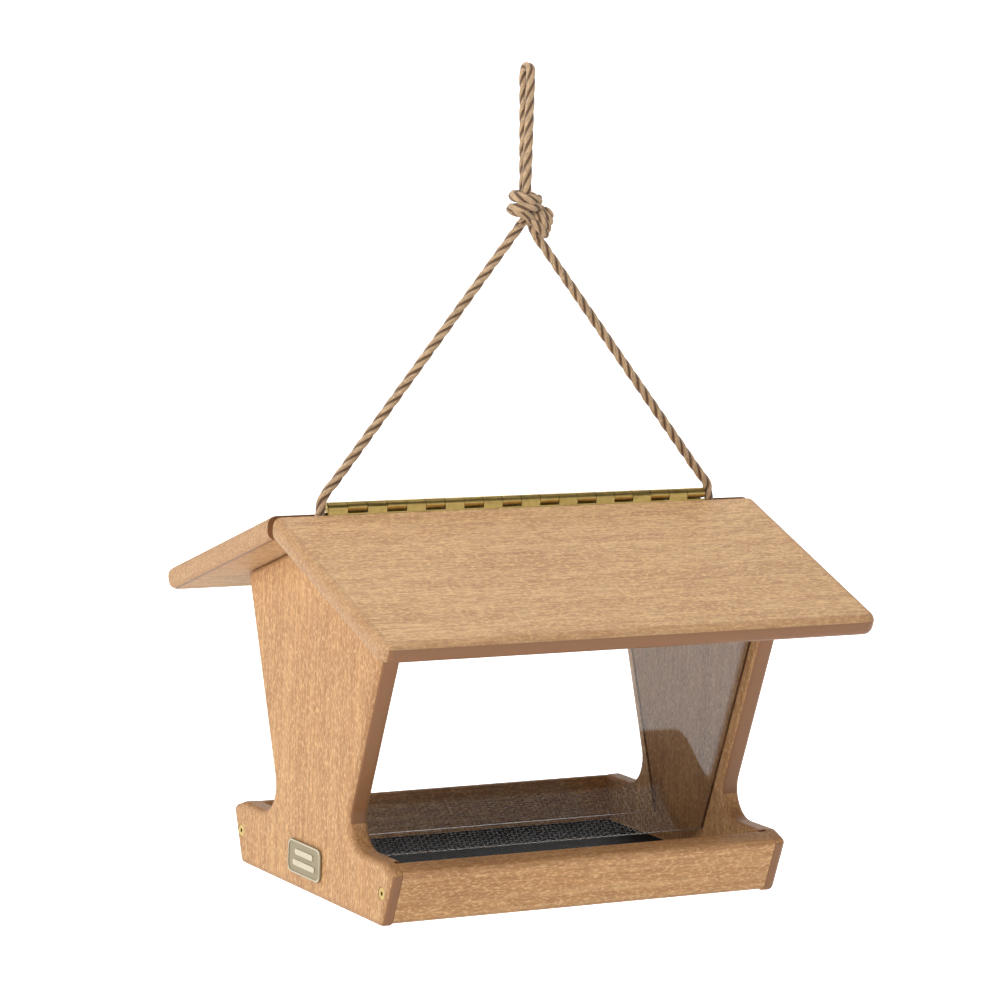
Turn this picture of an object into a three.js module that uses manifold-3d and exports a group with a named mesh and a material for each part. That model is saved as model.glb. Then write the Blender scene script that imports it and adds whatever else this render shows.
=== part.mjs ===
// Hanging hopper bird feeder: plank end panels and tray rails, two clear windows that lean
// outward in a V, a perforated floor, and a pitched roof whose front board lifts on a
// continuous hinge.  Millimetres, +Z up, X along the ridge, front towards -Y.
// Origin: middle of the base, on the plane that the tray stands on.

import * as THREE from 'three';
import { mergeVertices } from 'three/addons/utils/BufferGeometryUtils.js';
import Module from 'manifold-3d';

const wasm = await Module();
wasm.setup();

// ---------------------------------------------------------------- driving dimensions

const gap = 0.3;                       // left between pieces that touch
const deg = Math.PI / 180;

const plankT = 12.7;                   // every plank
const edgeR = 3.1;                     // routed edges of panels and rails
const lean = 20 * deg;                 // rails, panel sides and windows, from vertical

const panelSpan = 258.4;               // over the outer faces of the end panels
const baseHalfWidth = 87.6;            // middle to the foot of a rail's outer face
const railHeight = 34.2;               // up the slope of a rail
const railInset = 5.2;                 // how far a rail's end is let into a panel
const neckHalfWidth = 46.6;            // narrowest part of an end panel
const neckR = 17;                      // concave curve between tray and upright
const cornerR = 3.6;                   // panel corners, in outline

const windowT = 2.5;
const windowSetIn = 6.35;              // panel edge to groove
const windowBottomZ = 25.2;            // feeding gap is below it
const windowLift = 2.6;                // free height under the closed roof
const grooveDepth = 3.2;
const grooveSlack = 0.4;               // each side of a window

const floorZ = 10.2;                   // top of the perforated floor
const floorT = 0.8;
const kerfDepth = 3;                   // saw cut in each rail that holds the floor

const roofPitch = 20.4 * deg;
const roofLength = 319.4;
const roofSlope = 145.1;               // ridge to eave, along the top of a board
const roofEdgeR = 4.8;
const roofCornerR = 8;
const ridgeZ = 217.4;                  // top of each board at the ridge

const knuckleR = 3;                    // continuous hinge
const knuckleLength = 12.5;
const pinR = 1.3;
const leafT = 1.2;
const leafDrop = 12.4;                 // hinge axis to the lower edge of a leaf
const hingeRise = 4.1;                 // hinge axis above the ridge edge
const hingeEndGap = 2;                 // least distance, panel's outer face to hinge
const hingeScrewMargin = 25.4;         // hinge end to its first screw
const hingeScrewsPerLeaf = 5;
const hingeScrew = { headR: 2.3, headT: 0.9, shankR: 1.1, length: 9.5, socket: 1.1 };

const plankScrew = { headR: 3.6, headT: 2.7, shankR: 1.9, length: 34, socket: 2.1 };
const railScrewUp = 18;                // up the slope of a rail's end
const roofScrewAt = [26, 78];          // from the ridge, down the slope

const badge = { width: 40, height: 19.5, thick: 1, rim: 1.1, rimRise: 0.4, r: 4.5, y: 3.8, z: 18.8 };
const badgeBars = [[22, 3.2], [27, -3.2]];  // length and height of each raised bar
const badgeBarT = 3.4;

const ropeR = 2.85;
const ropeSides = 8;
const ropeHoleZ = 188;
const ropeHoleR = 4.8;
const stopperR = 8.5;                  // knot on each end of the rope, inside the hopper

// Each leg of the rope goes out through a panel, up into the ridge gap, and bends over the end
// of the hinge: [x, z] at y = 0, with x from the panel's outer face and then from the hinge end.
const ropeAtPanel = [
  [-20.8, 188], [-9.8, 188], [-2.8, 188], [0.7, 189], [3, 191.4], [4, 195], [3.8, 201],
];
const ropeAtHinge = [[5.9, 209.5], [4.2, 217], [3.4, 222], [2.6, 226.3]];
const legEnds = [[-5.2, 380.5], [5.6, 373.2]];  // where each straight leg enters the hanging knot
const legSteps = 13;
const knotUpper = { at: [-3.6, 0, 392.6], radii: [10, 9.4, 8.4] };
const knotLower = { at: [4.4, 0, 381.6], radii: [10, 9.4, 9.2] };
const loopBase = [-3.2, 0, 397];       // between the two ropes of the loop
const loopTop = [-4.6, 0, 467.3];
const loopSpread = 2.9;                // middle of the loop to each of its two ropes
const loopAngle = [-104, -78].map((a) => a * deg);  // of the front rope, at the base and top
const loopSeat = 1.2;                  // its recess in the knot, below its ends

// ---------------------------------------------------------------- what follows from them

const panelOuterX = panelSpan / 2;
const panelInnerX = panelOuterX - plankT;
const slope = [Math.sin(lean), Math.cos(lean)];             // up a leaning face, in [y, z]
const inward = [-Math.cos(lean), Math.sin(lean)];           // across it, towards the middle
const railOuterTop = along([baseHalfWidth, 0], slope, railHeight);
const railInnerTop = along(railOuterTop, inward, plankT);
const neckCentre = [neckHalfWidth + neckR, railInnerTop[1] + neckR];
const sideFoot = along(neckCentre, inward, neckR);          // where the straight side starts

const ridgeHalfGap = knuckleR + gap;
const knuckleCount = 2 * Math.floor((panelOuterX - hingeEndGap) / knuckleLength);
const hingeEndX = (knuckleCount / 2) * knuckleLength;
const hingeZ = ridgeZ + hingeRise;
const underRidgeZ = ridgeZ - plankT / Math.cos(roofPitch);
const underRoofZ = (y) => underRidgeZ - (Math.abs(y) - ridgeHalfGap) * Math.tan(roofPitch);
const roofUp = [Math.cos(roofPitch), Math.sin(roofPitch)];  // up the front board, in [y, z]
const roofOut = [-Math.sin(roofPitch), Math.cos(roofPitch)];

const railEndX = panelInnerX + railInset;
const windowOuter = along(sideFoot, inward, windowSetIn + grooveSlack);
const windowFoot = along(windowOuter, slope, (windowBottomZ - windowOuter[1]) / slope[1]);
const windowInnerFoot = along(windowFoot, inward, windowT);
const windowRun = runToRoof(windowFoot) - windowLift;
const panelTopY = along(sideFoot, slope, runToRoof(sideFoot))[0];

// ---------------------------------------------------------------- helpers

// The point a given distance from another, in a direction, both in [y, z].
function along(point, direction, distance) {
  return [point[0] + direction[0] * distance, point[1] + direction[1] * distance];
}

// How far a leaning line from a point goes before it meets the underside of the roof.
function runToRoof([y, z]) {
  return (underRoofZ(y) - z) / (slope[1] + slope[0] * Math.tan(roofPitch));
}

// A closed three.js geometry as a solid that can be joined and cut.
function solid(geometry) {
  const bare = geometry.clone();
  for (const name of ['normal', 'uv']) if (bare.hasAttribute(name)) bare.deleteAttribute(name);
  const { attributes, index } = mergeVertices(bare);
  return new wasm.Manifold(new wasm.Mesh({
    numProp: 3,
    vertProperties: new Float32Array(attributes.position.array),
    triVerts: new Uint32Array(index.array),
  }));
}

function geometryOf(body) {
  const { vertProperties, triVerts } = body.getMesh();
  const geometry = new THREE.BufferGeometry();
  geometry.setAttribute('position', new THREE.BufferAttribute(vertProperties, 3));
  geometry.setIndex(new THREE.BufferAttribute(triVerts, 1));
  geometry.computeVertexNormals();
  return geometry;
}

function cut(geometry, ...tools) {
  return geometryOf(tools.reduce((body, tool) => body.subtract(solid(tool)), solid(geometry)));
}

function join(...geometries) {
  return geometryOf(geometries.map(solid).reduce((body, other) => body.add(other)));
}

// Turned half round the upright axis: what is made for the front then suits the back.
const turned = (geometry) => geometry.clone().rotateZ(Math.PI);

function box(low, high) {
  const size = high.map((h, i) => h - low[i]);
  return new THREE.BoxGeometry(...size).translate(...high.map((h, i) => (h + low[i]) / 2));
}

// An outline in [y, z], drawn out along X from x0 to x1.
function prism(outline, x0, x1, bevel = 0) {
  const shape = outline instanceof THREE.Shape
    ? outline : new THREE.Shape(outline.map((p) => new THREE.Vector2(...p)));
  const geometry = new THREE.ExtrudeGeometry(shape, {
    depth: x1 - x0 - 2 * bevel, curveSegments: 3, bevelEnabled: bevel > 0,
    bevelThickness: bevel, bevelSize: bevel, bevelOffset: -bevel, bevelSegments: 3,
  });
  const axes = new THREE.Matrix4().makeBasis(
    new THREE.Vector3(0, 1, 0), new THREE.Vector3(0, 0, 1), new THREE.Vector3(1, 0, 0));
  return geometry.applyMatrix4(axes).translate(x0 + bevel, 0, 0);
}

// A four-sided outline standing on a leaning line: from foot, up by run, and in by width.
function leaningStrip(foot, run, width) {
  const top = along(foot, slope, run);
  return [foot, top, along(top, inward, width), along(foot, inward, width)];
}

// Rounds the corners of a closed outline, each given as [x, y, radius].
function rounded(corners) {
  const path = new THREE.Shape();
  corners.forEach(([x, y, r], i) => {
    const here = new THREE.Vector2(x, y);
    const before = new THREE.Vector2(...corners.at(i - 1)).sub(here).normalize();
    const after = new THREE.Vector2(...corners[(i + 1) % corners.length]).sub(here).normalize();
    const half = Math.acos(before.dot(after)) / 2;
    const start = here.clone().addScaledVector(before, r ? r / Math.tan(half) : 0);
    path[i ? 'lineTo' : 'moveTo'](start.x, start.y);
    if (!r) return;
    const centre = before.clone().add(after).setLength(r / Math.sin(half)).add(here);
    const end = here.clone().addScaledVector(after, r / Math.tan(half));
    path.absarc(centre.x, centre.y, r, start.sub(centre).angle(), end.sub(centre).angle(),
      before.cross(after) > 0);
  });
  path.closePath();
  return path;
}

// A round profile of [radius, height] points, turned about +Z.
const turnedProfile = (points, segments = 12) => new THREE.LatheGeometry(
  points.map((p) => new THREE.Vector2(...p)), segments).rotateX(Math.PI / 2);

// A countersunk screw: its head is at the origin, facing +Z, and its point is below.
function screw({ headR, headT, shankR, length, socket }) {
  const body = turnedProfile([
    [0, -length], [shankR, -length + 3 * shankR], [shankR, -headT], [headR, 0], [0, 0],
  ]);
  const half = socket / 2;
  return cut(body, box([-half, -half, -headT * 0.8], [half, half, 1]));
}

// The hole that the screw sits in, open above its head.
function screwHole({ headR, headT, shankR, length }) {
  return turnedProfile([
    [0, -length - 1], [shankR + gap, -length + 3 * shankR], [shankR + gap, -headT - gap],
    [headR + gap, -gap / 2], [headR + gap, 3], [0, 3],
  ]);
}

// Moves what faces +Z at the origin to a point, facing along a direction.
function facing(geometry, point, direction) {
  const turn = new THREE.Quaternion().setFromUnitVectors(
    new THREE.Vector3(0, 0, 1), new THREE.Vector3(...direction).normalize());
  return geometry.clone().applyQuaternion(turn).translate(...point);
}

// A curve whose steps fall on the points that it is drawn through.
class StepCurve extends THREE.CatmullRomCurve3 {
  getUtoTmapping(u) { return u; }
}

function tube(points, radius, sides) {
  const section = new THREE.Shape();
  section.setFromPoints(Array.from({ length: sides }, (_, i) => {
    const a = (i / sides) * 2 * Math.PI;
    return new THREE.Vector2(radius * Math.cos(a), radius * Math.sin(a));
  }));
  const extrudePath = new StepCurve(points.map((p) => new THREE.Vector3(...p)));
  return new THREE.ExtrudeGeometry(section, {
    steps: points.length - 1, extrudePath, bevelEnabled: false,
  });
}

// ---------------------------------------------------------------- screws' places

const screwSink = 0.2;                 // heads sit this far below the wood
const railScrewYZ = along(along([baseHalfWidth, 0], slope, railScrewUp), inward, plankT / 2);

// Where each end panel's two screws go into the rails' ends; side is -1 left, 1 right.
const railScrewPlaces = (side) => [-1, 1].map((face) => ({
  point: [side * (panelOuterX - screwSink), face * railScrewYZ[0], railScrewYZ[1]],
  direction: [side, 0, 0],
}));

// Roof screws go through the back board into the top edge of an end panel.
const roofScrewPlaces = (side) => roofScrewAt.map((down) => {
  const [y, z] = along(along([-ridgeHalfGap, ridgeZ], roofUp, -down), roofOut, -screwSink);
  return {
    point: [side * (panelOuterX - plankT / 2), -y, z],
    direction: [0, -roofOut[0], roofOut[1]],
  };
});

const screwAt = (kind, { point, direction }) => facing(screw(kind), point, direction);
const holesAt = (kind, places) => places.map(
  ({ point, direction }) => facing(screwHole(kind), point, direction));

// ---------------------------------------------------------------- end panels

// Half of the outline, at y > 0, from the foot up to the middle of the roof.
function panelOutline() {
  const topY = panelTopY - gap;
  const apexZ = underRidgeZ + ridgeHalfGap * Math.tan(roofPitch) - 2 * gap;
  const seatZ = (y) => underRoofZ(y) - gap / Math.cos(roofPitch);
  const arc = new THREE.EllipseCurve(...neckCentre, neckR, neckR, -Math.PI / 2,
    Math.PI - lean, true).getPoints(10).map((p) => [p.x, p.y, 0]);
  const half = [
    [baseHalfWidth, 0, cornerR], [...railOuterTop, cornerR], [...railInnerTop, cornerR],
    ...arc, [topY, seatZ(topY), 0],
  ];
  const flat = ridgeHalfGap + 2 * gap;
  const top = [[flat, Math.min(seatZ(flat), apexZ), 0]];
  const mirrored = ([y, z, r]) => [-y, z, r];
  return rounded([...half, ...top, ...[...half, ...top].reverse().map(mirrored)]);
}

function endPanel(side) {
  const inner = side * panelInnerX;
  const deeper = (depth) => [inner - side, inner + side * depth].sort((a, b) => a - b);
  const outline = panelOutline();
  const whole = prism(outline, Math.min(inner, side * panelOuterX),
    Math.max(inner, side * panelOuterX), edgeR);

  const railSeat = leaningStrip(
    along(along([baseHalfWidth, 0], slope, -10), inward, -10), railHeight + 20, plankT + 10 + gap);
  const grooveFoot = along(along(windowFoot, slope, -gap), inward, -grooveSlack);
  const groove = leaningStrip(grooveFoot, windowRun + 30, windowT + 2 * grooveSlack);
  const bothSides = (strip, depth) => {
    const one = prism(strip, ...deeper(depth));
    return [one, prism(strip.map(([y, z]) => [-y, z]).reverse(), ...deeper(depth))];
  };
  const ropeHole = new THREE.CylinderGeometry(ropeHoleR, ropeHoleR, 3 * plankT, 20)
    .rotateZ(Math.PI / 2).translate(side * panelOuterX, 0, ropeHoleZ);

  return cut(whole, ropeHole,
    ...bothSides(railSeat, railInset + gap), ...bothSides(groove, grooveDepth),
    ...holesAt(plankScrew, railScrewPlaces(side)), ...holesAt(plankScrew, roofScrewPlaces(side)));
}

// ---------------------------------------------------------------- tray

// The back rail, leaning towards +Y; turned half round it is the front rail.
function trayRail() {
  const [y0, z0] = [baseHalfWidth, 0];
  const corners = leaningStrip([y0, z0], railHeight, plankT);
  const radii = [cornerR, edgeR, edgeR, cornerR];
  const section = rounded(corners.map((p, i) => [...p, radii[i]]).reverse());
  const innerFoot = along([y0, z0], inward, plankT);
  const kerfY = innerFoot[0] + (floorZ - innerFoot[1]) * Math.tan(lean) + kerfDepth;
  const kerf = box([-railEndX - 1, 0, floorZ - floorT - gap],
    [railEndX + 1, kerfY, floorZ + gap]);
  const screws = [-1, 1].flatMap((side) => railScrewPlaces(side).slice(1));
  return cut(prism(section, -railEndX, railEndX), kerf, ...holesAt(plankScrew, screws));
}

function floorScreen() {
  const innerFoot = along([baseHalfWidth, 0], inward, plankT);
  const y = innerFoot[0] + (floorZ - floorT - innerFoot[1]) * Math.tan(lean) + kerfDepth - 2 * gap;
  const x = panelInnerX - gap;
  return box([-x, -y, floorZ - floorT], [x, y, floorZ]);
}

// ---------------------------------------------------------------- windows

function windowPane() {
  const x = panelInnerX + grooveDepth - 2 * gap;
  return prism(leaningStrip(windowFoot, windowRun, windowT).reverse(), -x, x);
}

// ---------------------------------------------------------------- roof

// The front board: its plan is drawn lying flat, tipped to the pitch, and mitred at the ridge.
function roofBoard() {
  const spare = 2 * plankT;
  const half = roofLength / 2;
  const plan = rounded([
    [-half, -roofSlope, roofCornerR], [half, -roofSlope, roofCornerR],
    [half, spare, 0], [-half, spare, 0],
  ]);
  const board = new THREE.ExtrudeGeometry(plan, {
    depth: plankT - 2 * roofEdgeR, bevelThickness: roofEdgeR, bevelSize: roofEdgeR,
    bevelOffset: -roofEdgeR, bevelSegments: 4, curveSegments: 3,
  });
  board.translate(0, 0, roofEdgeR - plankT).rotateX(roofPitch).translate(0, -ridgeHalfGap, ridgeZ);
  const beyond = box([-half - 9, -ridgeHalfGap, ridgeZ - 60], [half + 9, 60, ridgeZ + 60]);
  return cut(board, beyond);
}

// ---------------------------------------------------------------- hinge

const leafFace = ridgeHalfGap - gap;   // outer face of a leaf, from the middle
const hingeScrewRun = hingeEndX - hingeScrewMargin;
const hingeScrewX = Array.from({ length: hingeScrewsPerLeaf },
  (_, i) => hingeScrewRun * (2 * i / (hingeScrewsPerLeaf - 1) - 1));
const hingeScrewZ = (ridgeZ + hingeZ - leafDrop) / 2;
const hingeScrewPlaces = hingeScrewX.map((x) => ({
  point: [x, -(leafFace - leafT) - screwSink / 2, hingeScrewZ], direction: [0, 1, 0],
}));

// The front leaf, whose knuckles are every other one from the left end.
function hingeLeaf() {
  const left = -hingeEndX;
  const plate = box([left + gap / 2, -leafFace, hingeZ - leafDrop],
    [-left - gap / 2, -leafFace + leafT, hingeZ]);
  const spans = Array.from({ length: knuckleCount }, (_, i) => left + i * knuckleLength);
  const own = spans.filter((_, i) => i % 2 === 0);
  const others = spans.filter((_, i) => i % 2 === 1);
  const knuckles = own.map((x) => new THREE.CylinderGeometry(
    knuckleR, knuckleR, knuckleLength - gap, 12).rotateZ(Math.PI / 2)
    .translate(x + knuckleLength / 2, 0, hingeZ));
  const notches = others.map((x) => box([x - gap / 2, -9, hingeZ - knuckleR - gap],
    [x + knuckleLength + gap / 2, 9, hingeZ + 9]));
  const bore = new THREE.CylinderGeometry(pinR + gap, pinR + gap, 3 * Math.abs(left), 8)
    .rotateZ(Math.PI / 2).translate(0, 0, hingeZ);
  return cut(join(cut(plate, ...notches), ...knuckles), bore,
    ...holesAt(hingeScrew, hingeScrewPlaces));
}

function hingePin() {
  return new THREE.CylinderGeometry(pinR, pinR, 2 * (hingeEndX - gap), 8)
    .rotateZ(Math.PI / 2).translate(0, 0, hingeZ);
}

// ---------------------------------------------------------------- badge

// A blank plate with a raised rim, facing -X on the left end panel.
function badgePlate() {
  const plate = (w, h, r) => rounded([
    [-w / 2, -h / 2, r], [w / 2, -h / 2, r], [w / 2, h / 2, r], [-w / 2, h / 2, r]]);
  const { width, height, thick, rim, rimRise, r } = badge;
  const x = -panelOuterX - gap;
  const face = prism(plate(width, height, r), x - thick - rimRise, x, rimRise);
  const field = prism(plate(width - 2 * rim, height - 2 * rim, r - rim / 2),
    x - thick - rimRise - 1, x - thick);
  const bars = badgeBars.map(([length, rise]) => prism(
    plate(length, badgeBarT, badgeBarT * 0.45), x - thick - rimRise, x - thick / 2)
    .translate(0, 0, rise));
  return join(cut(face, field), ...bars).translate(0, badge.y, badge.z);
}

// ---------------------------------------------------------------- rope

// The points of the left (-1) or right (1) leg, made longer at both ends by a given length.
function legRoute(side, longer = 0) {
  const [ex, ez] = legEnds[side < 0 ? 0 : 1];
  const bends = [
    ...ropeAtPanel.map(([x, z]) => [side * (panelOuterX + x), z]),
    ...ropeAtHinge.map(([x, z]) => [side * (hingeEndX + x), z]),
  ];
  const [sx, sz] = bends.at(-1);
  const beyond = 1 + longer / Math.hypot(ex - sx, ez - sz);
  const straight = Array.from({ length: legSteps }, (_, i) => {
    const t = ((i + 1) / legSteps) * beyond;
    return [sx + (ex - sx) * t, sz + (ez - sz) * t];
  });
  bends[0][0] -= side * longer;
  return [...bends, ...straight].map(([x, z]) => [x, 0, z]);
}

// Two ropes side by side that turn a little on the way up, joined by the bight at the top.
function ropeLoop() {
  const steps = 5;
  const between = (low, high, t) => low + (high - low) * t;
  const offset = (angle, across) => [
    loopSpread * across * Math.cos(angle), loopSpread * across * Math.sin(angle)];
  const strand = (across) => Array.from({ length: steps + 1 }, (_, i) => {
    const [x, y, z] = loopBase.map((low, axis) => between(low, loopTop[axis], i / steps));
    const [dx, dy] = offset(between(...loopAngle, i / steps), across);
    return [x + dx, y + dy, z];
  });
  const bight = [0.17, 0.33, 0.5, 0.67, 0.83].map((t) => {
    const [dx, dy] = offset(loopAngle[1], Math.cos(t * Math.PI));
    return [loopTop[0] + dx, loopTop[1] + dy, loopTop[2] + loopSpread * Math.sin(t * Math.PI)];
  });
  return tube([...strand(1), ...bight, ...strand(-1).reverse()], ropeR - 0.1, ropeSides);
}

const ball = ({ at, radii }) => new THREE.SphereGeometry(1, 14, 9)
  .scale(...radii).translate(...at);

// The hanging knot: the legs and the loop run into it.
function ropeKnot() {
  const grown = ropeR + gap;
  const legs = [-1, 1].map((side) => tube(legRoute(side, gap), grown, ropeSides));
  const loop = new THREE.CylinderGeometry(2 * grown, 2 * grown, 40, 16).rotateX(Math.PI / 2)
    .translate(loopBase[0], loopBase[1], loopBase[2] + 20 - loopSeat);
  return cut(join(ball(knotUpper), ball(knotLower)), ...legs, loop);
}

// A stopper knot bears on the inner face of a panel, around the rope's hole.
function ropeStopper(side) {
  const length = 2 * stopperR * 0.8;
  const knot = ball({ at: [0, 0, 0], radii: [length / 2, stopperR * 0.9, stopperR] });
  const x = side * (panelInnerX - gap - length / 2);
  return cut(knot.translate(x, 0, ropeHoleZ), tube(legRoute(side, gap), ropeR + gap, ropeSides));
}

// ---------------------------------------------------------------- materials

const material = (color, roughness, metalness = 0, extra = {}) =>
  new THREE.MeshStandardMaterial({ color, roughness, metalness, ...extra });

const plank = material(0xc49a6c, 0.7);
const plankEdge = material(0xcfa580, 0.6);
const brass = material(0xb08d3c, 0.35, 1);
const acrylic = material(0xeef4f4, 0.05, 0, { transparent: true, opacity: 0.3 });
const blackMetal = material(0x1a1b1d, 0.45, 0.6);
const bronze = material(0x8c8560, 0.5, 0.8);
const cordage = material(0xb49470, 0.95);

// ---------------------------------------------------------------- the feeder

const feeder = new THREE.Group();

function add(name, geometry, finish, parent = feeder) {
  const mesh = new THREE.Mesh(geometry, finish);
  mesh.name = name;
  parent.add(mesh);
  return mesh;
}

// The same piece again, turned half round for the other side.
function addTurned(name, geometry, finish) {
  add(name, geometry, finish).rotation.z = Math.PI;
}

const [rail, pane, board, leaf] = [trayRail(), windowPane(), roofBoard(), hingeLeaf()];

add('end_panel_left', endPanel(-1), plank);
add('end_panel_right', endPanel(1), plank);
add('tray_rail_back', rail, plank);
addTurned('tray_rail_front', rail, plank);
add('floor_screen', floorScreen(), blackMetal);
add('window_back', pane, acrylic);
addTurned('window_front', pane, acrylic);

const backBoardHoles = [-1, 1].flatMap(roofScrewPlaces);
add('roof_board_front', cut(board, ...holesAt(hingeScrew, hingeScrewPlaces)), plankEdge);
add('roof_board_back', cut(turned(board), ...holesAt(plankScrew, backBoardHoles),
  ...holesAt(hingeScrew, hingeScrewPlaces).map(turned)), plankEdge);

add('hinge_leaf_front', leaf, brass);
addTurned('hinge_leaf_back', leaf, brass);
add('hinge_pin', hingePin(), brass);
hingeScrewPlaces.forEach((place, i) => {
  add(`hinge_screw_front_${i + 1}`, screwAt(hingeScrew, place), brass);
  addTurned(`hinge_screw_back_${i + 1}`, screwAt(hingeScrew, place), brass);
});

for (const [side, word] of [[-1, 'left'], [1, 'right']]) {
  roofScrewPlaces(side).forEach((place, i) => {
    add(`roof_screw_${word}_${['upper', 'lower'][i]}`, screwAt(plankScrew, place), brass);
  });
  railScrewPlaces(side).forEach((place, i) => {
    add(`rail_screw_${['front', 'back'][i]}_${word}`, screwAt(plankScrew, place), brass);
  });
}

add('badge_plate', badgePlate(), bronze);

add('rope_leg_left', tube(legRoute(-1), ropeR, ropeSides), cordage);
add('rope_leg_right', tube(legRoute(1), ropeR, ropeSides), cordage);
add('rope_knot', ropeKnot(), cordage);
add('rope_loop', ropeLoop(), cordage);
add('rope_stopper_left', ropeStopper(-1), cordage);
add('rope_stopper_right', ropeStopper(1), cordage);

export default feeder;
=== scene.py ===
import math

import bpy
import numpy as np
from bpy.props import FloatProperty, FloatVectorProperty, IntProperty, PointerProperty
from mathutils import Matrix, Vector


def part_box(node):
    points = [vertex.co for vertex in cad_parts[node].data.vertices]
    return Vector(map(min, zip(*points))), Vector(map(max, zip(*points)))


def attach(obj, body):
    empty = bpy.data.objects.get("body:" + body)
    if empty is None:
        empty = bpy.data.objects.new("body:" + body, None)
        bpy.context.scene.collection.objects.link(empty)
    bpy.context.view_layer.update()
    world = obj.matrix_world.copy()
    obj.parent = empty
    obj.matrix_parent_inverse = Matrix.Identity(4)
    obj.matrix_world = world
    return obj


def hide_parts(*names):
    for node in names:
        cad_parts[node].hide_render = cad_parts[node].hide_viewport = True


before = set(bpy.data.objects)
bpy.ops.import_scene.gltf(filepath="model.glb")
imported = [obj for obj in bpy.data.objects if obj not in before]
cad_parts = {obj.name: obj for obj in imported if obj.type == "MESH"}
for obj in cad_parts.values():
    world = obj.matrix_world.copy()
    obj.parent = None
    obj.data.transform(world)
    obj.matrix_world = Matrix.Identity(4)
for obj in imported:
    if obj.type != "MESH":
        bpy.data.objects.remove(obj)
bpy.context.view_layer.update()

bl_info = {
    "name": "Hanging Bird Feeder",
    "version": (1, 0, 0),
    "blender": (4, 5, 0),
    "location": "View3D > Sidebar > Feeder",
    "description": "Finishes the planks, windows, hinge, floor and rope of a hopper bird feeder",
    "category": "Object",
}

MM = 0.001
WHITE = (1.0, 1.0, 1.0, 1.0)

# The bodies of the nodes that move; every other node is on the feeder.
MOVING = {"roof_board_front": "roof_front", "hinge_leaf_front": "roof_front",
          "window_front": "window_front"}

# Grain: part, noise scale, detail, roughness, stretch along the grain, low and high level.
GRAIN = (("Lines", 430, 3, 0.6, 0.016, 0.40, 0.62), ("Fibres", 640, 3, 0.65, 0.14, 0.38, 0.62),
         ("Specks", 900, 2, 0.6, 0.40, 0.48, 0.66), ("Bands", 90, 5, 0.62, 0.12, 0.34, 0.66))
FIBRE_RISE, SPECK_RISE = 0.5, 0.6      # shares of the grain's height

# How the grain colours a plank: part, how strongly it shows, colour.
PLANK_LAYERS = (("Bands", 0.34, "plank_dark"), ("Lines", 0.30, "plank_light"),
                ("Fibres", 0.48, "plank_dark"), ("Specks", 0.62, "plank_light"))
ROUTED_FIBRES, ROUTED_FLATNESS = 0.2, 0.8
SAWN_ROUGHNESS, ROUTED_ROUGHNESS = 0.62, 0.40

# Planks: kind, ends of its names, axis its flat faces look along and by how much, leeway.
PLANKS = (("end_panel", ("left", "right"), 0, 1.0, 0.02),
          ("tray_rail", ("front", "back"), 1, math.cos(math.radians(20)), 0.01),
          ("roof_board", ("front", "back"), 2, math.cos(math.radians(20.4)), 0.004))
# Edges whose normal is within these limits face forward, back or down and get the dark routed
# colour in full, which is painted shade.
SIDE_EDGE, DOWNWARD_EDGE = 0.5, 0.15   # limits of an edge's normal in X and Z
# Painted shade: side edges and the rails' edges get this smaller share of the dark routed colour,
# and of the routed smoothness.
LESS_ROUTED_AND_SHADE = 0.3

WELD, FLATTEN = 0.00001, math.radians(0.6)
SCREEN_WELD, SCREEN_LEEWAY = 0.00005, 0.0002
BADGE_RIM, BADGE_FACE, WORN_RIM = 0.0016, 0.0002, 0.3

STRANDS, LOBE_DEPTH, LOBE_FULLNESS, FIBRE_STRETCH = 3, 0.30, 0.7, 10
LOOP_THINNESS, TURN_LAY, TURN_POINTS = 0.97, 0.7, 49
PANEL_FACE_X, ROPE_HOLE_Z = 0.1292, 0.188


# ------------------------------------------------------------------ sizes and colours


def size(name, default, about):
    return FloatProperty(name=name, description=about, default=default, min=0.0,
                         unit="LENGTH", precision=4)


def colour(name, default, about):
    return FloatVectorProperty(name=name, description=about, default=default, size=3,
                               subtype="COLOR", min=0.0, max=1.0)


class FeederSizes(bpy.types.PropertyGroup):
    rope_diameter: size("Rope diameter", 0.0057, "Thickness of the laid rope")
    rope_lay: size("Rope lay", 0.030, "Length of one turn of a strand about the rope")
    opening_long: size("Opening, long way", 0.00602, "Pitch of the floor's openings along X")
    opening_short: size("Opening, short way", 0.0032, "Pitch of the floor's openings along Y")
    strand: size("Screen strand", 0.0010, "Width of the floor's metal strands")
    knot_rope: size("Stopper rope diameter", 0.0056, "Thickness of the rope in the stopper knots")
    floor_drop: size("Studio floor", 0.25, "How far the studio floor is below the feeder")
    rope_sides: IntProperty(name="Rope sides", description="Points round the rope's section",
                            default=24, min=9, max=48)


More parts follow.
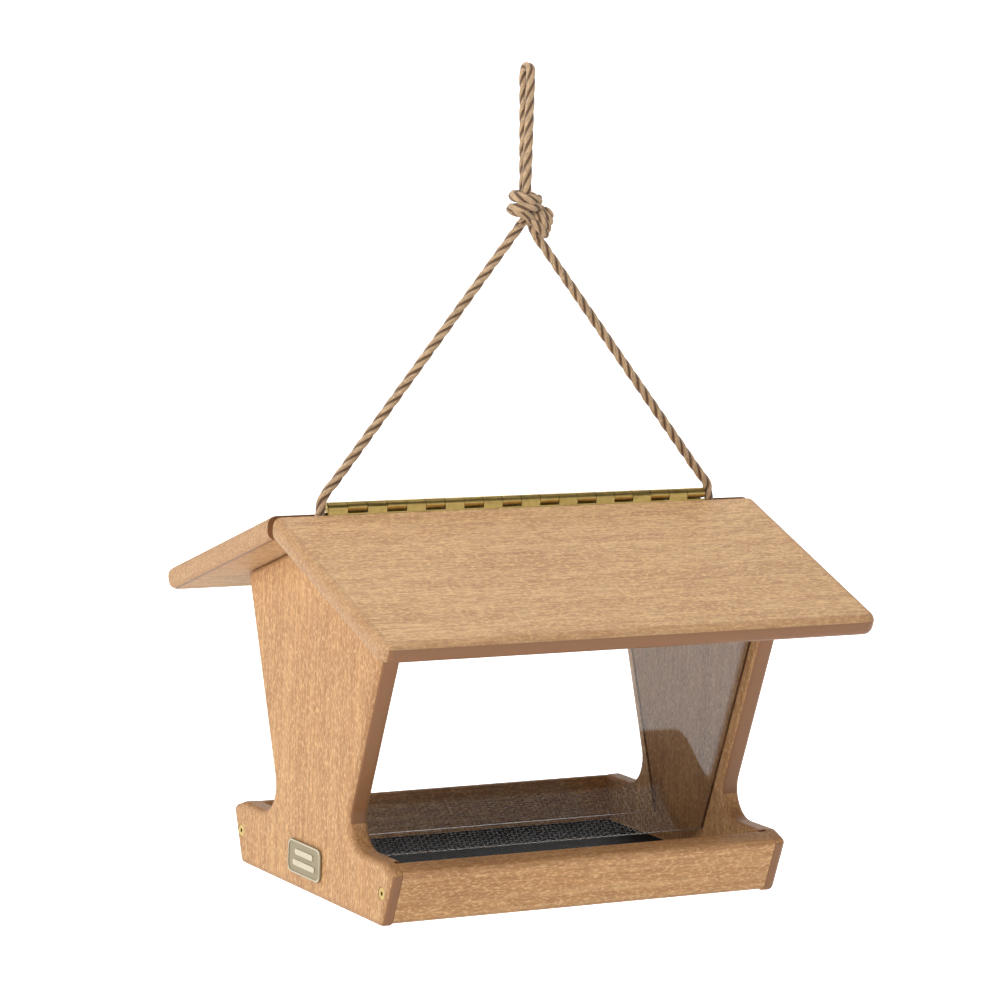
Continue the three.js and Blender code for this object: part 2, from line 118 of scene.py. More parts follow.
class FeederColours(bpy.types.PropertyGroup):
    plank: colour("Plank", (0.52, 0.262, 0.100), "Main colour of the planks")
    plank_dark: colour("Plank grain", (0.290, 0.125, 0.047), "Darker grain of the planks")
    plank_light: colour("Plank flecks", (0.78, 0.50, 0.240), "Pale flecks in the grain")
    roof: colour("Roof", (0.55, 0.345, 0.18), "Main colour of the roof's top")
    # Painted shade: this routed-edge colour is darker than the plank to stand in for the shade on
    # edges that face forward, back or down. The routed edges' lower roughness is real.
    routed_and_shade: colour("Routed edge", (0.25, 0.112, 0.045), "Smooth edges where a plank was routed")
    brass: colour("Brass", (0.50, 0.36, 0.12), "Hinge and screws")
    badge: colour("Badge", (0.30, 0.245, 0.150), "Field of the badge")
    badge_rim: colour("Badge rim", (0.62, 0.55, 0.40), "Worn rim of the badge")
    rope: colour("Rope", (0.50, 0.335, 0.19), "Fibres of the rope")
    # Painted shade: the dark colour painted into the grooves between the rope's strands.
    rope_groove_shade: colour("Rope grooves", (0.10, 0.050, 0.022), "Between the rope's strands")
    screen: colour("Screen", (0.012, 0.012, 0.013), "Black floor screen")
    studio: colour("Studio floor", (0.86, 0.86, 0.86), "Plain pale floor")


# ------------------------------------------------------------------ materials


def node(tree, kind, at=(0, 0), **values):
    made = tree.nodes.new(kind)
    made.location = at
    for name, value in values.items():
        setattr(made, name, value)
    return made


def feed(tree, target, **sources):
    """Links or sets a node's inputs by name; an underscore stands for a space."""
    for name, source in sources.items():
        socket = target.inputs[name.replace("_", " ")]
        if isinstance(source, bpy.types.NodeSocket):
            tree.links.new(source, socket)
        else:
            socket.default_value = source


def mixed(tree, factor, a, b):
    """The colour between a and b that the factor says."""
    made = node(tree, "ShaderNodeMix", data_type="RGBA", blend_type="MIX")
    for index, source in ((0, factor), (6, a), (7, b)):
        if isinstance(source, bpy.types.NodeSocket):
            tree.links.new(source, made.inputs[index])
        else:
            made.inputs[index].default_value = (
                source if index == 0 else (*source[:3], 1.0))
    return made.outputs[2]


def sums(tree, operation, *values):
    """One step of arithmetic on sockets or numbers."""
    made = node(tree, "ShaderNodeMath", operation=operation)
    for socket, source in zip(made.inputs, values):
        if isinstance(source, bpy.types.NodeSocket):
            tree.links.new(source, socket)
        else:
            socket.default_value = source
    return made.outputs[0]


def ramp(tree, factor, low, high, from_value=0.0, to_value=1.0):
    """A smooth change from one value to another as the factor goes from low to high."""
    made = node(tree, "ShaderNodeMapRange", interpolation_type="SMOOTHSTEP")
    feed(tree, made, Value=factor, From_Min=low, From_Max=high,
         To_Min=from_value, To_Max=to_value)
    return made.outputs["Result"]


def noise(tree, vector, scale, detail=3.0, roughness=0.55, stretch=None):
    if stretch:
        turn = node(tree, "ShaderNodeMapping", vector_type="POINT")
        turn.inputs["Scale"].default_value = stretch
        tree.links.new(vector, turn.inputs["Vector"])
        vector = turn.outputs["Vector"]
    made = node(tree, "ShaderNodeTexNoise")
    feed(tree, made, Vector=vector, Scale=scale, Detail=detail, Roughness=roughness)
    return made.outputs["Fac"]


def group(name, outputs, inputs=()):
    """A new node group, with its inputs to read and its outputs to fill."""
    tree = bpy.data.node_groups.new(name, "ShaderNodeTree")
    for label, kind in inputs:
        tree.interface.new_socket(label, in_out="INPUT", socket_type=kind)
    for label, kind in outputs:
        tree.interface.new_socket(label, in_out="OUTPUT", socket_type=kind)
    return (tree, node(tree, "NodeGroupInput", (-900, 0)).outputs,
            node(tree, "NodeGroupOutput", (600, 0)).inputs)


def plank_grain():
    """Long lines, short fibres, small specks and soft bands, for grain along the vector's X."""
    name = "Plank grain"
    if name in bpy.data.node_groups:
        return bpy.data.node_groups[name]
    parts = [row[0] for row in GRAIN] + ["Height"]
    tree, given, put = group(name, [(part, "NodeSocketFloat") for part in parts],
                             [("Vector", "NodeSocketVector")])
    made = {part: ramp(tree, noise(tree, given["Vector"], scale, detail, rough, (stretch, 1, 1)),
                       low, high) for part, scale, detail, rough, stretch, low, high in GRAIN}
    made["Height"] = sums(tree, "ADD", sums(tree, "MULTIPLY", made["Fibres"], FIBRE_RISE),
                          sums(tree, "MULTIPLY", made["Specks"], SPECK_RISE))
    for part in parts:
        tree.links.new(made[part], put[part])
    return tree


def surface(name, **settings):
    """A new material, its tree and its main shader, with constants on the shader's sockets."""
    made = bpy.data.materials.new(name)
    made.use_nodes = True
    shader = made.node_tree.nodes["Principled BSDF"]
    feed(made.node_tree, shader, **settings)
    return made, made.node_tree, shader


def bumped(tree, shader, height, strength, distance):
    """Roughens the shader's surface by a height."""
    bump = node(tree, "ShaderNodeBump")
    feed(tree, bump, Height=height, Strength=strength, Distance=distance)
    tree.links.new(bump.outputs["Normal"], shader.inputs["Normal"])


def object_place(tree, turn=None):
    """Place on the object, turned where its grain runs another way."""
    place = node(tree, "ShaderNodeTexCoord").outputs["Object"]
    if turn:
        made = node(tree, "ShaderNodeMapping")
        made.inputs["Rotation"].default_value = turn
        tree.links.new(place, made.inputs["Vector"])
        place = made.outputs["Vector"]
    return place


def plank_material(name, main, turn=None):
    """Grained plank, smoother and redder on the edges that the routed attribute marks, where the
    colour is also painted darker as painted shade.
    """
    c = bpy.context.scene.feeder_colours
    made, tree, shader = surface(name, IOR=1.45)
    grain = node(tree, "ShaderNodeGroup", node_tree=plank_grain())
    tree.links.new(object_place(tree, turn), grain.inputs["Vector"])
    routed_and_shade = node(tree, "ShaderNodeAttribute", attribute_name="routed_and_shade").outputs["Fac"]
    body = main
    for part, amount, tint in PLANK_LAYERS:
        body = mixed(tree, sums(tree, "MULTIPLY", grain.outputs[part], amount), body,
                     getattr(c, tint))
    # Painted shade: the edge colour, darker than the plank, stands in for the shade on edges facing
    # forward, back or down; the routed mark also sets smoothness and gloss below.
    routed_shade_colour = mixed(tree, sums(tree, "MULTIPLY", grain.outputs["Fibres"], ROUTED_FIBRES),
                   c.routed_and_shade, c.plank_dark)
    tree.links.new(mixed(tree, routed_and_shade, body, routed_shade_colour), shader.inputs["Base Color"])
    rough = sums(tree, "SUBTRACT", 1.0, sums(tree, "MULTIPLY", routed_and_shade, ROUTED_FLATNESS))
    bumped(tree, shader, sums(tree, "MULTIPLY", grain.outputs["Height"], rough), 0.45, 0.0003)
    tree.links.new(ramp(tree, routed_and_shade, 0, 1, SAWN_ROUGHNESS, ROUTED_ROUGHNESS),
                   shader.inputs["Roughness"])
    return made


def brass_material():
    c = bpy.context.scene.feeder_colours
    made, tree, shader = surface("Brass", Metallic=1.0)
    place = object_place(tree)
    tarnish = ramp(tree, noise(tree, place, 260, 4), 0.40, 0.72)
    rubbed = noise(tree, place, 900, 2, 0.6, (0.06, 1, 1))
    tree.links.new(mixed(tree, sums(tree, "MULTIPLY", tarnish, 0.35), c.brass,
                         [x * 0.55 for x in c.brass]), shader.inputs["Base Color"])
    tree.links.new(ramp(tree, rubbed, 0.3, 0.7, 0.28, 0.42), shader.inputs["Roughness"])
    bumped(tree, shader, rubbed, 0.08, 0.0001)
    return made


def screen_material():
    c = bpy.context.scene.feeder_colours
    made, tree, shader = surface("Black screen", Metallic=0.0, Specular_IOR_Level=0.15)
    worn = ramp(tree, noise(tree, object_place(tree), 500, 3), 0.55, 0.75)
    tree.links.new(mixed(tree, worn, c.screen, [x * 2.4 for x in c.screen]),
                   shader.inputs["Base Color"])
    tree.links.new(ramp(tree, worn, 0, 1, 0.6, 0.8), shader.inputs["Roughness"])
    return made


def window_material():
    """Clear faces, and sawn edges that scatter the light."""
    made, tree, shader = surface("Clear acrylic", Metallic=0.0, IOR=1.58)
    sawn = node(tree, "ShaderNodeAttribute", attribute_name="sawn").outputs["Fac"]
    feed(tree, shader, Transmission_Weight=1.0, Base_Color=(0.985, 0.99, 0.99, 1.0))
    feed(tree, shader, Roughness=sums(tree, "MULTIPLY", sawn, 0.9))
    return made


def badge_material():
    c = bpy.context.scene.feeder_colours
    made, tree, shader = surface("Badge", Metallic=0.35, Roughness=0.5)
    raised = node(tree, "ShaderNodeAttribute", attribute_name="raised").outputs["Fac"]
    cast = noise(tree, object_place(tree), 1400, 3)
    rubbed = sums(tree, "MULTIPLY", raised, ramp(tree, cast, 0.25, 0.6, 0.55, 1.0))
    tree.links.new(mixed(tree, rubbed, c.badge, c.badge_rim), shader.inputs["Base Color"])
    bumped(tree, shader, cast, 0.3, 0.0001)
    return made


def rope_material():
    """Fibres that follow the strands, with painted shade in the grooves between them."""
    c = bpy.context.scene.feeder_colours
    made, tree, shader = surface("Laid rope", Roughness=0.85)
    groove_shade = node(tree, "ShaderNodeAttribute", attribute_name="groove_shade").outputs["Fac"]
    place = node(tree, "ShaderNodeAttribute", attribute_name="fibre").outputs["Vector"]
    fibre = noise(tree, place, 1.0, 4, 0.65, (12, 12, 26))
    tuft = noise(tree, object_place(tree), 900, 3)
    body = mixed(tree, ramp(tree, fibre, 0.34, 0.64), [x * 0.34 for x in c.rope],
                 [min(1, x * 1.30) for x in c.rope])
    body = mixed(tree, sums(tree, "MULTIPLY", ramp(tree, tuft, 0.5, 0.7), 0.4), body,
                 [min(1, x * 1.6) for x in c.rope])
    # Painted shade: the groove mark darkens the colour between the strands.
    tree.links.new(mixed(tree, ramp(tree, groove_shade, 0.15, 0.80), body, c.rope_groove_shade),
                   shader.inputs["Base Color"])
    bumped(tree, shader, sums(tree, "ADD", fibre, sums(tree, "MULTIPLY", tuft, 0.4)),
           0.6, 0.0004)
    feed(tree, shader, Sheen_Weight=0.25, Sheen_Roughness=0.5)
    return made


# ------------------------------------------------------------------ modelling helpers


def clear_selection():
    if bpy.context.object and bpy.context.object.mode != "OBJECT":
        bpy.ops.object.mode_set(mode="OBJECT")
    bpy.ops.object.select_all(action="DESELECT")


def take(obj):
    clear_selection()
    obj.select_set(True)
    bpy.context.view_layer.objects.active = obj


def finished(obj, name, material, stands_for):
    """Names a piece, seats its place in its mesh, and ties it to the body of its node."""
    take(obj)
    bpy.ops.object.transform_apply(location=True, rotation=True, scale=True)
    obj.name = obj.data.name = name
    obj.data.materials.clear()
    obj.data.materials.append(material)
    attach(obj, MOVING.get(stands_for, "feeder"))
    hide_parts(stands_for)


def welded_copy(cad_name, angle=35):
    """A copy of a node with its flat triangles joined up and its edges shaded as rounded."""
    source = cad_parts[cad_name]
    obj = bpy.data.objects.new(cad_name + "_finish", source.data.copy())
    bpy.context.collection.objects.link(obj)
    take(obj)
    bpy.ops.object.mode_set(mode="EDIT")
    bpy.ops.mesh.select_all(action="SELECT")
    bpy.ops.mesh.remove_doubles(threshold=WELD)
    bpy.ops.mesh.dissolve_limited(angle_limit=FLATTEN, delimit=set())
    bpy.ops.object.mode_set(mode="OBJECT")
    bpy.ops.object.shade_smooth_by_angle(angle=math.radians(angle))
    weigh = obj.modifiers.new("Weighted normals", "WEIGHTED_NORMAL")
    weigh.keep_sharp = True
    weigh.weight = 100
    bpy.ops.object.modifier_apply(modifier=weigh.name)
    return obj


def mark_faces(obj, name, amount):
    """Writes each face's amount on its corners."""
    layer = obj.data.attributes.new(name, "FLOAT", "CORNER")
    values = np.zeros(len(obj.data.loops), np.float32)
    for face in obj.data.polygons:
        values[face.loop_start:face.loop_start + face.loop_total] = amount(face)
    layer.data.foreach_set("value", values)


def distances(line):
    """How far each point of a line is along it."""
    return np.concatenate([[0], np.cumsum(np.linalg.norm(np.diff(line, axis=0), axis=1))])


def swept_rope(name, route, radius, lay, sides, phase=0.0):
    """A three-strand rope along a route of points in metres, as one closed tube."""
    line = np.array(route, float)
    along = distances(line)
    tangent = np.gradient(line, along, axis=0)
    tangent /= np.linalg.norm(tangent, axis=1)[:, None]
    side = np.cross(tangent[0], (0.0, 1.0, 0.0))
    if np.linalg.norm(side) < 0.2:
        side = np.cross(tangent[0], (1.0, 0.0, 0.0))
    sides_at = []
    for t in tangent:
        side = side - t * side.dot(t)
        side = side / np.linalg.norm(side)
        sides_at.append(side)
    sides_at = np.array(sides_at)
    up_at = np.cross(tangent, sides_at)
    angle = np.arange(sides) / sides * 2 * np.pi
    points, groove_shade, fibre = [], [], []
    for i, centre in enumerate(line):
        twist = phase + 2 * np.pi * along[i] / lay
        lobe = np.abs(np.cos(STRANDS * (angle - twist) / 2))
        reach = radius * (1 - LOBE_DEPTH + LOBE_DEPTH * lobe ** LOBE_FULLNESS)
        ring = centre + (np.cos(angle)[:, None] * sides_at[i]
                         + np.sin(angle)[:, None] * up_at[i]) * reach[:, None]
        points.append(ring)
        # Painted shade mask: highest between the strands, where the rope's colour is darkened.
        groove_shade.append(1 - lobe)
        fibre.append(np.stack([np.cos(angle - twist), np.sin(angle - twist),
                               np.full(sides, along[i] * FIBRE_STRETCH)], axis=1))
    points = np.array(points).reshape(-1, 3)
    rings = len(line)
    faces = []
    for i in range(rings - 1):
        for j in range(sides):
            k = (j + 1) % sides
            faces.append((i * sides + j, (i + 1) * sides + j,
                          (i + 1) * sides + k, i * sides + k))
    faces.append(tuple(range(sides)))
    faces.append(tuple(reversed(range((rings - 1) * sides, rings * sides))))
    mesh = bpy.data.meshes.new(name)
    mesh.from_pydata(points.tolist(), [], faces)
    layer = mesh.attributes.new("groove_shade", "FLOAT", "POINT")
    layer.data.foreach_set("value", np.array(groove_shade, np.float32).ravel())
    layer = mesh.attributes.new("fibre", "FLOAT_VECTOR", "POINT")
    layer.data.foreach_set("vector", np.array(fibre, np.float32).ravel())
    obj = bpy.data.objects.new(name, mesh)
    bpy.context.collection.objects.link(obj)
    take(obj)
    bpy.ops.object.mode_set(mode="EDIT")
    bpy.ops.mesh.select_all(action="SELECT")
    bpy.ops.mesh.normals_make_consistent(inside=False)
    bpy.ops.object.mode_set(mode="OBJECT")
    bpy.ops.object.shade_smooth()
    return obj


def smooth_route(points, step=0.0012):
    """Points a short step apart on a smooth curve through the given ones."""
    p = np.array(points, float)
    knots = np.concatenate([[0], np.cumsum(np.sqrt(np.linalg.norm(np.diff(p, axis=0), axis=1)))])
    slopes = np.gradient(p, knots, axis=0)
    dense = []
    for i in range(len(p) - 1):
        h = knots[i + 1] - knots[i]
        for t in np.linspace(0, 1, 24, endpoint=False):
            a, b = 2 * t**3 - 3 * t**2 + 1, t**3 - 2 * t**2 + t
            c, d = -2 * t**3 + 3 * t**2, t**3 - t**2
            dense.append(a * p[i] + b * h * slopes[i] + c * p[i + 1] + d * h * slopes[i + 1])
    dense = np.array(dense + [p[-1]])
    along = distances(dense)
    at = np.linspace(0, along[-1], max(3, int(along[-1] / step)))
    return np.stack([np.interp(at, along, dense[:, k]) for k in range(3)], axis=1)


def closed_turn(name, place, radius, s, phase):
    """One closed turn of rope, through its place at each angle."""
    route = np.array([tuple(place(t)) for t in np.linspace(0, 2 * math.pi, TURN_POINTS)])
    return swept_rope(name, route, radius, s.rope_lay * TURN_LAY, s.rope_sides, phase=phase)


def joined(pieces, name):
    """The pieces as one object."""
    clear_selection()
    for piece in pieces:
        piece.select_set(True)
    bpy.context.view_layer.objects.active = pieces[0]
    bpy.ops.object.join()
    pieces[0].name = pieces[0].data.name = name
    return pieces[0]


# ------------------------------------------------------------------ rope routes, in millimetres

ROPE_BENDS = [(108.4, 188), (119.4, 188), (126.4, 188), (129.9, 189), (132.2, 191.4),
              (133.2, 195), (133, 201), (130.9, 209.5), (129.2, 217), (128.4, 222),
              (127.6, 226.3)]
LEG_ENDS = {-1: (-5.2, 380.5), 1: (5.6, 373.2)}
LEG_STEPS = 13
LOOP_BASE, LOOP_TOP = (-3.2, 0, 397), (-4.6, 0, 467.3)
LOOP_SPREAD, LOOP_ANGLE, LOOP_STEPS = 2.9, (math.radians(-104), math.radians(-78)), 5


def leg_route(side):
    (ex, ez), bends = LEG_ENDS[side], [(side * x, z) for x, z in ROPE_BENDS]
    sx, sz = bends[-1]
    straight = [(sx + (ex - sx) * t, sz + (ez - sz) * t)
                for t in ((i + 1) / LEG_STEPS for i in range(LEG_STEPS))]
    return [(x * MM, 0.0, z * MM) for x, z in bends + straight]


def loop_route():
    def beside(centre, angle, across, rise=0.0):
        x, y, z = centre
        return (x + LOOP_SPREAD * across * math.cos(angle),
                y + LOOP_SPREAD * across * math.sin(angle), z + rise)

    def strand(across):
        shares = [i / LOOP_STEPS for i in range(LOOP_STEPS + 1)]
        return [beside([b + (c - b) * t for b, c in zip(LOOP_BASE, LOOP_TOP)],
                       LOOP_ANGLE[0] + (LOOP_ANGLE[1] - LOOP_ANGLE[0]) * t, across)
                for t in shares]

    bight = [beside(LOOP_TOP, LOOP_ANGLE[1], math.cos(t * math.pi),
                    LOOP_SPREAD * math.sin(t * math.pi)) for t in (0.17, 0.33, 0.5, 0.67, 0.83)]
    return [tuple(v * MM for v in p) for p in strand(1) + bight + strand(-1)[::-1]]


# ------------------------------------------------------------------ the pieces


class FEEDER_OT_planks(bpy.types.Operator):
    """Finish the end panels, tray rails and roof boards with grain and routed edges, painted darker
    as painted shade where they face forward, back or down
    """
    bl_idname = "feeder.planks"
    bl_label = "Planks"

    def execute(self, context):
        c = context.scene.feeder_colours
        upright = plank_material("Plank, upright grain", c.plank, (0, math.radians(90), 0))
        lengthwise = plank_material("Plank, lengthwise grain", c.plank)
        roof = plank_material("Roof plank", c.roof)
        for kind, ends, axis, along, leeway in PLANKS:
            look = {"end_panel": upright, "tray_rail": lengthwise, "roof_board": roof}[kind]

            def routed_and_shade(face):
                normal = face.normal
                if abs(abs(normal[axis]) - along) < leeway:
                    return 0.0
                # Painted shade: edges facing forward, back or down get the dark routed colour in
                # full; other edges and the rails' edges get a smaller share.
                facing_into_shade = abs(normal.x) < SIDE_EDGE and normal.z < DOWNWARD_EDGE
                return 1.0 if facing_into_shade and kind != "tray_rail" else LESS_ROUTED_AND_SHADE

            for end in ends:
                name = f"{kind}_{end}"
                obj = welded_copy(name)
                mark_faces(obj, "routed_and_shade", routed_and_shade)
                finished(obj, name + "_plank", look,
                         name)
        return {"FINISHED"}


class FEEDER_OT_windows(bpy.types.Operator):
    """Finish both windows in clear acrylic with sawn edges"""
    bl_idname = "feeder.windows"
    bl_label = "Windows"

    def execute(self, context):
        clear = window_material()
        for name in ("window_front", "window_back"):
            obj = welded_copy(name)
            mark_faces(obj, "sawn", lambda face: float(abs(face.normal.y) < 0.8))
            finished(obj, name + "_pane", clear, name)
        return {"FINISHED"}


class FEEDER_OT_screen(bpy.types.Operator):
    """Make the expanded-metal floor with its diamond openings"""
    bl_idname = "feeder.screen"
    bl_label = "Floor screen"

    def execute(self, context):
        s = context.scene.feeder_sizes
        low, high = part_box("floor_screen")
        centre = [(a + b) / 2 for a, b in zip(low, high)]
        px, py = s.opening_long, s.opening_short
        clear_selection()
        bpy.ops.mesh.primitive_circle_add(vertices=4, radius=0.5, fill_type="NGON",
                                          location=(0, 0, 0))
        obj = context.object
        bpy.ops.object.mode_set(mode="EDIT")
        bpy.ops.transform.resize(value=(px, py, 1))
        bpy.ops.mesh.inset(thickness=s.strand / 2, use_even_offset=True)
        bpy.ops.mesh.delete(type="FACE")
        bpy.ops.mesh.select_all(action="SELECT")
        bpy.ops.mesh.duplicate_move(TRANSFORM_OT_translate={"value": (px / 2, py / 2, 0)})
        bpy.ops.object.mode_set(mode="OBJECT")
        for axis, pitch, span in ((0, px, high[0] - low[0]), (1, py, high[1] - low[1])):
            row = obj.modifiers.new("Row", "ARRAY")
            row.count = math.ceil(span / pitch) + 2
            row.use_relative_offset, row.use_constant_offset = False, True
            row.constant_offset_displace = [pitch if k == axis else 0 for k in range(3)]
            bpy.ops.object.modifier_apply(modifier=row.name)
        nx, ny = (math.ceil((high[k] - low[k]) / p) + 2 for k, p in ((0, px), (1, py)))
        bpy.ops.object.mode_set(mode="EDIT")
        bpy.ops.mesh.select_all(action="SELECT")
        bpy.ops.transform.translate(value=(centre[0] - (nx - 0.5) * px / 2,
                                           centre[1] - (ny - 0.5) * py / 2, high[2]))
        bpy.ops.mesh.remove_doubles(threshold=SCREEN_WELD)
        for k in (0, 1):
            for edge, way in ((low[k], -1), (high[k], 1)):
                bpy.ops.mesh.select_all(action="SELECT")
                bpy.ops.mesh.bisect(plane_co=[edge if j == k else 0 for j in range(3)],
                                    plane_no=[way if j == k else 0 for j in range(3)],
                                    clear_outer=True)
        bpy.ops.object.mode_set(mode="OBJECT")
        thick = obj.modifiers.new("Thickness", "SOLIDIFY")
        thick.thickness, thick.offset = high[2] - low[2], -1
        bpy.ops.object.modifier_apply(modifier=thick.name)
        finished(obj, "floor_screen_mesh", screen_material(), "floor_screen")
        top = max(v.co.z for v in obj.data.vertices)
        if abs(top - high[2]) > SCREEN_LEEWAY:
            raise RuntimeError(f"the screen's top is at {top}, not {high[2]}")
        return {"FINISHED"}


class FEEDER_OT_brass(bpy.types.Operator):
    """Finish the hinge, its pin and the screws in brass"""
    bl_idname = "feeder.brass"
    bl_label = "Hinge and screws"

    def execute(self, context):
        brass = brass_material()
        for name in ("hinge_leaf_front", "hinge_leaf_back"):
            finished(welded_copy(name), name + "_brass", brass, name)
        for name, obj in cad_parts.items():
            if "screw" in name or name == "hinge_pin":
                obj.data.materials.clear()
                obj.data.materials.append(brass)
        return {"FINISHED"}


class FEEDER_OT_badge(bpy.types.Operator):
    """Finish the blank badge with a worn raised rim"""
    bl_idname = "feeder.badge"
    bl_label = "Badge"

    def execute(self, context):
        obj = welded_copy("badge_plate")
        low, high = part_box("badge_plate")
        middle = [(a + b) / 2 for a, b in zip(low, high)]
        reach = [(b - a) / 2 - BADGE_RIM for a, b in zip(low, high)]

        def raised(face):
            if face.center.x > low[0] + BADGE_FACE:
                return 0.0
            inner = all(abs(face.center[k] - middle[k]) < reach[k] for k in (1, 2))
            return 1.0 if inner else WORN_RIM

        mark_faces(obj, "raised", raised)
        finished(obj, "badge_blank", badge_material(), "badge_plate")
        return {"FINISHED"}


class FEEDER_OT_rope(bpy.types.Operator):
    """Lay the three-strand rope: two legs, the hanging knot, the loop and the stopper knots"""
    bl_idname = "feeder.rope"
    bl_label = "Rope"

    def execute(self, context):
        s = context.scene.feeder_sizes
        look = rope_material()
        for side, word in ((-1, "left"), (1, "right")):
            route = smooth_route(leg_route(side))
            obj = swept_rope("rope_leg", route, s.rope_diameter / 2, s.rope_lay, s.rope_sides)
            finished(obj, f"rope_leg_{word}_laid", look, f"rope_leg_{word}")
        route = smooth_route(loop_route())
        obj = swept_rope("rope_loop", route, s.rope_diameter / 2 * LOOP_THINNESS, s.rope_lay,
                         s.rope_sides)
        finished(obj, "rope_loop_laid", look, "rope_loop")
        self.knot(s, look)
        for word in ("left", "right"):
            self.stopper(s, look, word)
        return {"FINISHED"}

    def knot(self, s, look):
        """Wraps of the two ropes: upper ones lie level, lower ones slant down to the right."""
        wraps = [  # centre, across, through, half width, half depth, diameter
            ((-2.8, 0, 395.6), (1, 0, -0.10), (0, 1, 0.14), 7.2, 6.2, 6.4),
            ((-3.6, 0, 390.0), (1, 0, 0.08), (0, 1, -0.14), 7.6, 6.4, 6.2),
            ((-5.2, 0, 386.6), (1, 0, -0.22), (0, 1, 0.1), 5.6, 5.6, 5.2),
            ((10.4, 0, 387.2), (0.72, 0, -0.69), (0, 1, 0.1), 2.2, 4.6, 5.0),
            ((8.4, 0, 385.2), (0.70, 0, -0.71), (0, 1, 0.1), 5.2, 5.8, 5.2),
            ((6.2, 0, 382.6), (0.72, 0, -0.69), (0.1, 1, 0), 7.2, 6.4, 5.4),
            ((4.4, 0, 379.6), (0.76, 0, -0.65), (0.1, 1, 0.1), 7.4, 6.0, 5.4),
        ]
        made = []
        for i, (centre, across, through, wide, deep, thick) in enumerate(wraps):
            a, b = (Vector(v).normalized() for v in (across, through))
            made.append(closed_turn(
                "wrap", lambda t: (Vector(centre) + a * (wide * math.cos(t))
                                   + b * (deep * math.sin(t))) * MM,
                thick / 2 * MM, s, i * 1.3))
        tails = (  # radius, then places along it
            (4.2, (-3.2, 0, 399), (-3, 0, 392), (2, 0, 386), (6, 0, 379)),
            (2.8, (-5.4, 0, 380.2), (-3.2, 0, 383.4), (-1, 0, 386.4), (1, 0, 389)),
            (2.8, (5.8, 0, 372.9), (3.8, 0, 375.6), (2.6, 0, 378.4), (2.4, 0, 382)),
        )
        cores = [swept_rope("core", smooth_route([tuple(v * MM for v in p) for p in points]),
                            radius * MM, s.rope_lay, s.rope_sides) for radius, *points in tails]
        finished(joined(made + cores, "rope_knot"), "rope_knot_tied", look, "rope_knot")

    def stopper(self, s, look, word):
        """Two turns of rope that lean towards each other, inside the hopper."""
        low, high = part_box(f"rope_stopper_{word}")
        x = (low[0] + high[0]) / 2
        made = []
        for k, (shift, tilt) in enumerate(((-0.0034, 0.25), (0.0034, -0.25))):  # along X, lean
            made.append(closed_turn(
                "turn", lambda t: (x + shift + tilt * 0.004 * math.sin(t), 0.0048 * math.cos(t),
                                   ROPE_HOLE_Z + 0.0052 * math.sin(t)),
                s.knot_rope / 2, s, k))
        finished(joined(made, "stopper"), f"rope_stopper_{word}_tied", look,
                 f"rope_stopper_{word}")


# Lights: name, place, what it is aimed at, power, width.
LIGHTS = (("Key", (-2.6, -0.9, 1.3), (0, 0, 0.12), 37, 1.6),
          ("Overhead", (-0.3, -0.3, 2.6), (0, 0, 0.12), 56, 2.4),
          ("Back", (1.6, 2.2, 1.4), (0, 0, 0.2), 16, 1.6))
CAMERA_AT, CAMERA_TURN = (-1.21313, -2.10286, 0.54361), (-29.72, 7.57, 2.0)
CAMERA_LENS, CAMERA_SENSOR = 152.99, 36
FLOOR_WIDTH, FAR_AWAY = 60, 200


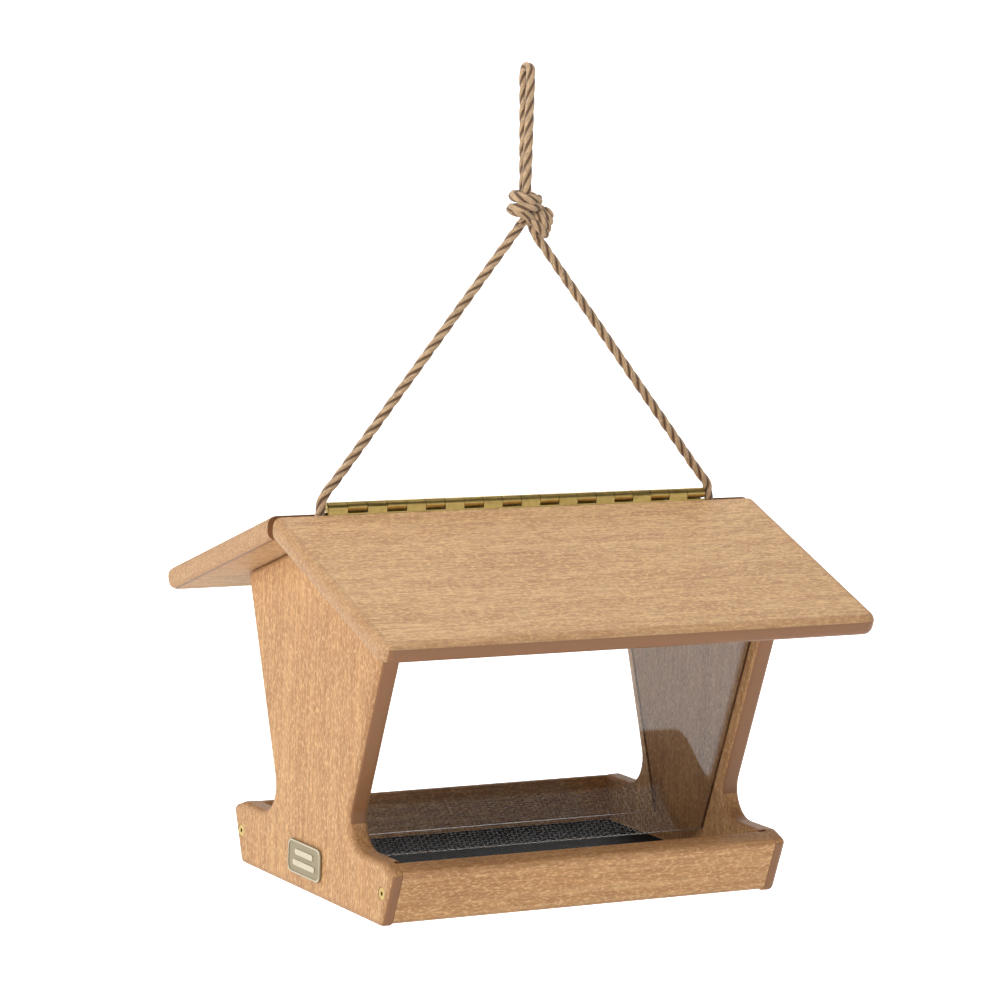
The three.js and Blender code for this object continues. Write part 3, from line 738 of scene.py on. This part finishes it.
class FEEDER_OT_stage(bpy.types.Operator):
    """Set up the camera, the lights, the pale floor and the surroundings; the floor glows as
    painted light, dimmer beneath the feeder
    """
    bl_idname = "feeder.stage"
    bl_label = "Studio"

    def execute(self, context):
        s, c = context.scene.feeder_sizes, context.scene.feeder_colours
        self.camera(context)
        clear_selection()
        bpy.ops.mesh.primitive_plane_add(size=FLOOR_WIDTH, location=(0, 0, -s.floor_drop))
        floor = context.object
        floor.name = "studio_floor"
        made, tree, shader = surface("Studio floor", Roughness=0.9)
        place = object_place(tree)
        away = node(tree, "ShaderNodeVectorMath", operation="LENGTH")
        apart = node(tree, "ShaderNodeSeparateXYZ")
        for target in (away.inputs[0], apart.inputs["Vector"]):
            tree.links.new(place, target)
        # Painted light: the floor glows. It is dim beneath the feeder as a painted pool of shade,
        # brighter outward and brighter still towards the back.
        glow_dim_beneath_feeder = ramp(tree, away.outputs["Value"], 0.2, 1.0, 0.15, 0.85)
        glow_brighter_behind = ramp(tree, apart.outputs["Y"], 0.3, 1.5, 0.0, 0.4)
        feed(tree, shader, Base_Color=(*c.studio, 1.0), Emission_Color=WHITE,
             Emission_Strength=sums(tree, "ADD", glow_dim_beneath_feeder, glow_brighter_behind))
        floor.data.materials.append(made)
        context.scene.world = self.surroundings()
        context.scene.view_settings.view_transform = "Standard"
        for name, place, aim, power, width in LIGHTS:
            bpy.ops.object.light_add(type="AREA", location=place)
            light = context.object
            light.name = name
            light.data.shape, light.data.size, light.data.energy = "DISK", width, power
            light.rotation_euler = (Vector(aim) - Vector(place)).to_track_quat("-Z", "Y").to_euler()
        return {"FINISHED"}

    def surroundings(self):
        """White behind up to a little above the horizon, softer in front, dim higher up."""
        world = bpy.data.worlds.new("Studio")
        world.use_nodes = True
        tree = world.node_tree
        place = node(tree, "ShaderNodeTexCoord").outputs["Generated"]
        apart = node(tree, "ShaderNodeSeparateXYZ")
        tree.links.new(place, apart.inputs["Vector"])
        height = ramp(tree, apart.outputs["Z"], 0.16, 0.34, 1.0, 0.14)
        behind = ramp(tree, apart.outputs["Y"], -0.6, 0.5, 0.62, 1.25)
        feed(tree, tree.nodes["Background"], Color=WHITE,
             Strength=sums(tree, "MULTIPLY", height, behind))
        return world

    def camera(self, context):
        """A long lens to the front left, a little above the feeder."""
        bpy.ops.object.camera_add()
        camera = context.object
        azimuth, elevation, roll = (math.radians(a) for a in CAMERA_TURN)
        back = Vector((math.sin(azimuth) * math.cos(elevation),
                       -math.cos(azimuth) * math.cos(elevation), math.sin(elevation)))
        right = Vector((0, 0, 1)).cross(back).normalized()
        up = back.cross(right)
        turned_right = right * math.cos(roll) + up * math.sin(roll)
        turned_up = up * math.cos(roll) - right * math.sin(roll)
        camera.matrix_world = Matrix.Translation(CAMERA_AT) @ Matrix(
            (turned_right, turned_up, back)).transposed().to_4x4()
        camera.data.lens, camera.data.sensor_width = CAMERA_LENS, CAMERA_SENSOR
        camera.data.clip_end = FAR_AWAY
        context.scene.camera = camera


class FEEDER_PT_panel(bpy.types.Panel):
    """Sizes, colours and pieces of the feeder"""
    bl_idname = "FEEDER_PT_panel"
    bl_label = "Bird feeder"
    bl_space_type = "VIEW_3D"
    bl_region_type = "UI"
    bl_category = "Feeder"

    def draw(self, context):
        for group_of in (context.scene.feeder_sizes, context.scene.feeder_colours):
            for name in group_of.__annotations__:
                self.layout.prop(group_of, name)
        for operator in OPERATORS:
            self.layout.operator(operator.bl_idname)


OPERATORS = (FEEDER_OT_stage, FEEDER_OT_rope, FEEDER_OT_planks, FEEDER_OT_windows,
             FEEDER_OT_screen, FEEDER_OT_brass, FEEDER_OT_badge)
CLASSES = (FeederSizes, FeederColours, *OPERATORS, FEEDER_PT_panel)


def register():
    for cls in CLASSES:
        bpy.utils.register_class(cls)
    bpy.types.Scene.feeder_sizes = PointerProperty(type=FeederSizes)
    bpy.types.Scene.feeder_colours = PointerProperty(type=FeederColours)


def unregister():
    del bpy.types.Scene.feeder_sizes
    del bpy.types.Scene.feeder_colours
    for cls in reversed(CLASSES):
        bpy.utils.unregister_class(cls)


def main():
    register()
    for operator in OPERATORS:
        area, name = operator.bl_idname.split(".")
        getattr(getattr(bpy.ops, area), name)()
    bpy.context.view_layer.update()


if __name__ == "__main__":
    main()
